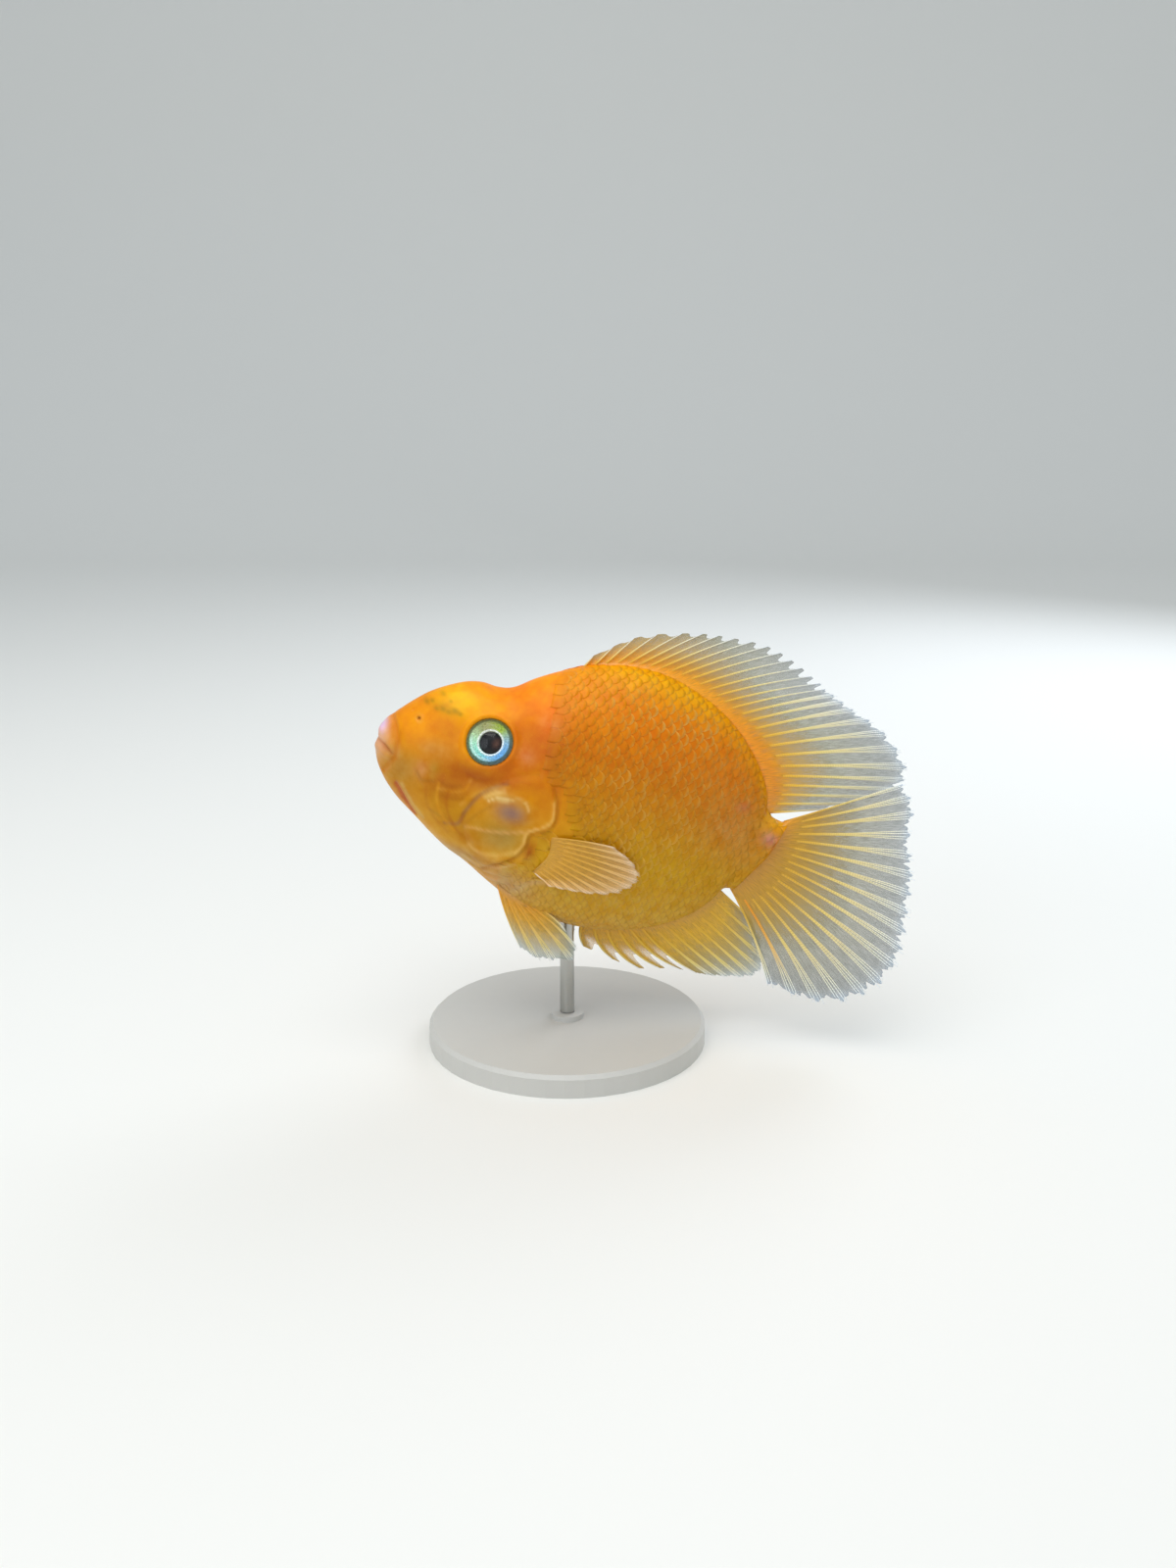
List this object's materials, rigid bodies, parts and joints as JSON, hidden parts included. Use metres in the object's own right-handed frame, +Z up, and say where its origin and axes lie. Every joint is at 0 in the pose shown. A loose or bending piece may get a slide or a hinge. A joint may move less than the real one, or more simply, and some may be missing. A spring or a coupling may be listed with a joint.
{
  "type": "blood parrot cichlid display model",
  "caption": "Life-size still model of a blood parrot cichlid, swimming slightly nose-up, held by a steel rod on a round base.",
  "frame": {"origin": "centre of the underside of the round base, straight below the rod", "axes": "+Z up, the fish faces -X with its nose raised 17 degrees, its left flank towards -Y"},
  "size_m": [0.1418, 0.076, 0.1128],
  "materials": {
    "skin": "wet, orange, finely scaled fish skin",
    "eye": "clear cornea over a yellow-green and blue iris",
    "fin": "thin clear membrane with yellow rays",
    "base": "satin off-white powder coat",
    "rod": "brushed stainless steel"
  },
  "bodies": {
    "root": {"head": "skin", "trunk": "skin", "tail_base": "skin", "gill_cover_left": "skin", "gill_cover_right": "skin", "eye_left": "eye", "eye_right": "eye", "dorsal_fin": "fin", "anal_fin": "fin", "caudal_fin": "fin", "pectoral_fin_left": "fin", "pectoral_fin_right": "fin", "pelvic_fin_left": "fin", "pelvic_fin_right": "fin", "stand_base": "base", "stand_rod": "rod"}
  },
  "joints": []
}
